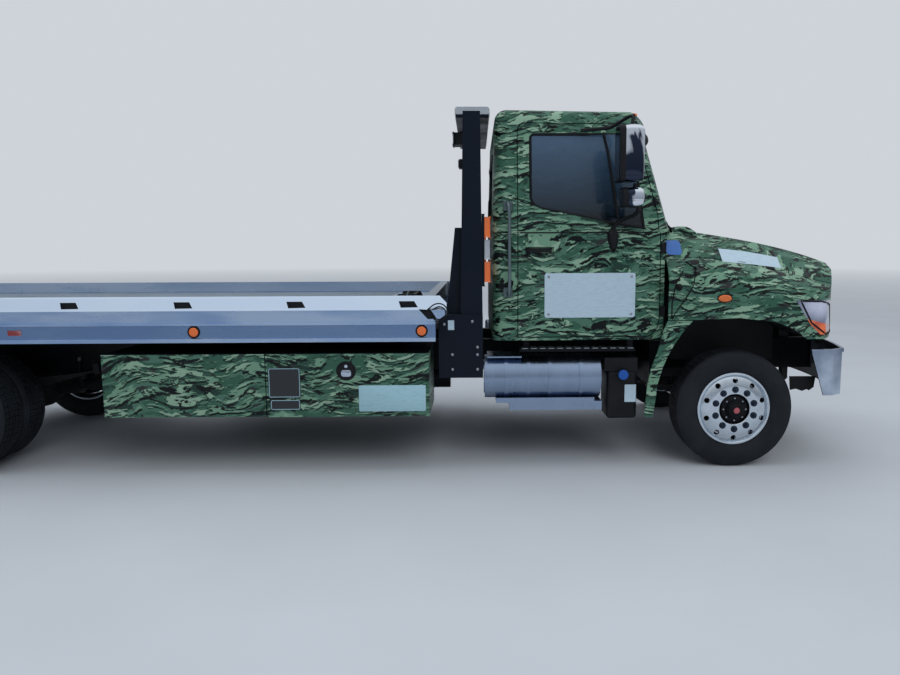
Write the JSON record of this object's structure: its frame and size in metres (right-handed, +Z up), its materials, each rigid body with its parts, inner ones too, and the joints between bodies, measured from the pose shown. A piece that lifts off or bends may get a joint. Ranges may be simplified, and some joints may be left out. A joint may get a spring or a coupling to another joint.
{
  "type": "tow truck",
  "caption": "Rollback tow truck with a conventional cab, tilting and sliding flat bed, side toolboxes, light pylon and rear wheel lift.",
  "frame": {"origin": "on the ground under the middle of the truck's length and width", "axes": "+X forward along the truck, +Y to its left, +Z up"},
  "size_m": [9.7568, 2.64, 2.5639],
  "materials": {
    "body_paint": "satin painted camouflage",
    "frame_paint": "satin black",
    "engine_paint": "painted cast iron",
    "chrome": "polished",
    "bright_alloy": "polished",
    "bed_aluminium": "brushed",
    "glass": "tinted",
    "lamp_lens": "clear lens",
    "tyre": "rubber",
    "black_plastic": "textured black",
    "cloth": "woven seat cloth",
    "dark_rubber": "matt",
    "cast": "oily cast",
    "steel": "ground steel"
  },
  "bodies": {
    "chassis": {"frame_rails": "frame_paint", "frame_crossmembers": "frame_paint", "front_bumper": "chrome", "engine": "engine_paint", "radiator": "black_plastic", "cab_shell": "body_paint", "cab_glass": "glass", "dashboard": "black_plastic", "seats": "cloth", "fender_tails": "body_paint", "front_axle": "cast", "leaf_springs": "cast", "rear_axle": "cast", "drive_shaft": "cast", "exhaust_canister": "bright_alloy", "def_tank": "black_plastic", "fuel_tank": "bright_alloy", "cab_steps": "black_plastic", "toolbox_left": "body_paint", "toolbox_right": "body_paint", "light_pylon": "frame_paint", "light_bar": "lamp_lens", "mudflaps": "dark_rubber", "tail_lamp_bar": "frame_paint", "splash_panels": "black_plastic", "air_tanks": "frame_paint"},
    "hood": {"hood_shell": "body_paint", "grille": "black_plastic", "headlamps": "lamp_lens", "fender_liners": "black_plastic"},
    "door_left": {"door_left": "body_paint", "door_glass_left": "glass", "mirror_left": "black_plastic"},
    "door_right": {"door_right": "body_paint", "door_glass_right": "glass", "mirror_right": "black_plastic"},
    "toolbox_door_left": {"toolbox_door_left": "body_paint"},
    "toolbox_door_right": {"toolbox_door_right": "body_paint"},
    "knuckle_left": {"knuckle_left": "cast"},
    "knuckle_right": {"knuckle_right": "cast"},
    "tie_rod": {"tie_rod": "cast"},
    "wheel_front_left": {"rim_front_left": "bright_alloy", "tyre_front_left": "tyre"},
    "wheel_front_right": {"rim_front_right": "bright_alloy", "tyre_front_right": "tyre"},
    "wheels_rear_left": {"rims_rear_left": "bright_alloy", "tyres_rear_left": "tyre"},
    "wheels_rear_right": {"rims_rear_right": "bright_alloy", "tyres_rear_right": "tyre"},
    "subframe": {"subframe": "frame_paint"},
    "bed": {"bed_frame": "bed_aluminium", "bed_deck": "bed_aluminium", "bed_rails": "bed_aluminium", "winch": "frame_paint"},
    "winch_drum": {"winch_drum": "steel"},
    "tilt_barrels": {"tilt_barrels": "frame_paint"},
    "tilt_rods": {"tilt_rods": "chrome"},
    "lift_boom": {"lift_boom": "frame_paint"},
    "lift_stinger": {"lift_stinger": "frame_paint"},
    "lift_crossbar": {"lift_crossbar": "frame_paint"}
  },
  "joints": [
    {"name": "hood_tilt", "type": "hinge", "parent": "chassis", "child": "hood", "pos_m": [4.7785, 0, 0.89], "axis": [0, 1, 0], "range_deg": [0, 60]},
    {"name": "door_left_swing", "type": "hinge", "parent": "chassis", "child": "door_left", "pos_m": [3.3885, 1.035, 1.5], "axis": [0, 0, -1], "range_deg": [0, 65]},
    {"name": "door_right_swing", "type": "hinge", "parent": "chassis", "child": "door_right", "pos_m": [3.3885, -1.035, 1.5], "axis": [0, 0, 1], "range_deg": [0, 65]},
    {"name": "toolbox_left_drop", "type": "hinge", "parent": "chassis", "child": "toolbox_door_left", "pos_m": [1.2005, 1.18, 0.412], "axis": [-1, 0, 0], "range_deg": [0, 90]},
    {"name": "toolbox_right_drop", "type": "hinge", "parent": "chassis", "child": "toolbox_door_right", "pos_m": [1.2005, -1.18, 0.412], "axis": [1, 0, 0], "range_deg": [0, 90]},
    {"name": "steer_left", "type": "hinge", "parent": "chassis", "child": "knuckle_left", "pos_m": [3.9285, 0.865, 0.419], "axis": [0, 0, 1], "range_deg": [-35, 35]},
    {"name": "steer_right", "type": "hinge", "parent": "chassis", "child": "knuckle_right", "pos_m": [3.9285, -0.865, 0.419], "axis": [0, 0, 1], "range_deg": [-35, 35]},
    {"name": "tie_rod_pivot", "type": "hinge", "parent": "knuckle_left", "child": "tie_rod", "pos_m": [3.7385, 0.845, 0.348], "axis": [0, 0, 1], "range_deg": [-35, 35]},
    {"name": "wheel_front_left_roll", "type": "hinge", "parent": "knuckle_left", "child": "wheel_front_left", "pos_m": [3.9285, 0.985, 0.419], "axis": [0, 1, 0], "continuous": true},
    {"name": "wheel_front_right_roll", "type": "hinge", "parent": "knuckle_right", "child": "wheel_front_right", "pos_m": [3.9285, -0.985, 0.419], "axis": [0, 1, 0], "continuous": true},
    {"name": "wheels_rear_left_roll", "type": "hinge", "parent": "chassis", "child": "wheels_rear_left", "pos_m": [-1.5835, 0.925, 0.419], "axis": [0, 1, 0], "continuous": true},
    {"name": "wheels_rear_right_roll", "type": "hinge", "parent": "chassis", "child": "wheels_rear_right", "pos_m": [-1.5835, -0.925, 0.419], "axis": [0, 1, 0], "continuous": true},
    {"name": "bed_tilt", "type": "hinge", "parent": "chassis", "child": "subframe", "pos_m": [-3.9715, 0, 0.88], "axis": [0, -1, 0], "range_deg": [0, 15]},
    {"name": "bed_slide", "type": "slide", "parent": "subframe", "child": "bed", "axis": [-1, 0, 0], "range_m": [0, 3.4]},
    {"name": "winch_spin", "type": "hinge", "parent": "bed", "child": "winch_drum", "pos_m": [1.5325, 0, 1.1], "axis": [0, 1, 0], "continuous": true},
    {"name": "tilt_barrel_swing", "type": "hinge", "parent": "chassis", "child": "tilt_barrels", "pos_m": [-0.7715, 0, 0.7], "axis": [0, -1, 0], "range_deg": [0, 44]},
    {"name": "tilt_rod_slide", "type": "slide", "parent": "tilt_barrels", "child": "tilt_rods", "axis": [0.9864, 0, 0.1644], "range_m": [0, 0.5]},
    {"name": "lift_lower", "type": "hinge", "parent": "chassis", "child": "lift_boom", "pos_m": [-3.9715, 0, 0.56], "axis": [0, -1, 0], "range_deg": [0, 16]},
    {"name": "lift_reach", "type": "slide", "parent": "lift_boom", "child": "lift_stinger", "axis": [-1, 0, 0], "range_m": [0, 0.45]},
    {"name": "crossbar_swivel", "type": "hinge", "parent": "lift_stinger", "child": "lift_crossbar", "pos_m": [-4.7215, 0, 0.56], "axis": [0, 0, 1], "range_deg": [-30, 30]}
  ],
  "couplings": [
    {"joint": "steer_right", "follows": "steer_left", "ratio": 1},
    {"joint": "tie_rod_pivot", "follows": "steer_left", "ratio": -1},
    {"joint": "tilt_barrel_swing", "follows": "bed_tilt", "ratio": 2.8368},
    {"joint": "tilt_rod_slide", "follows": "bed_tilt", "m_per_rad": 1.8381}
  ]
}
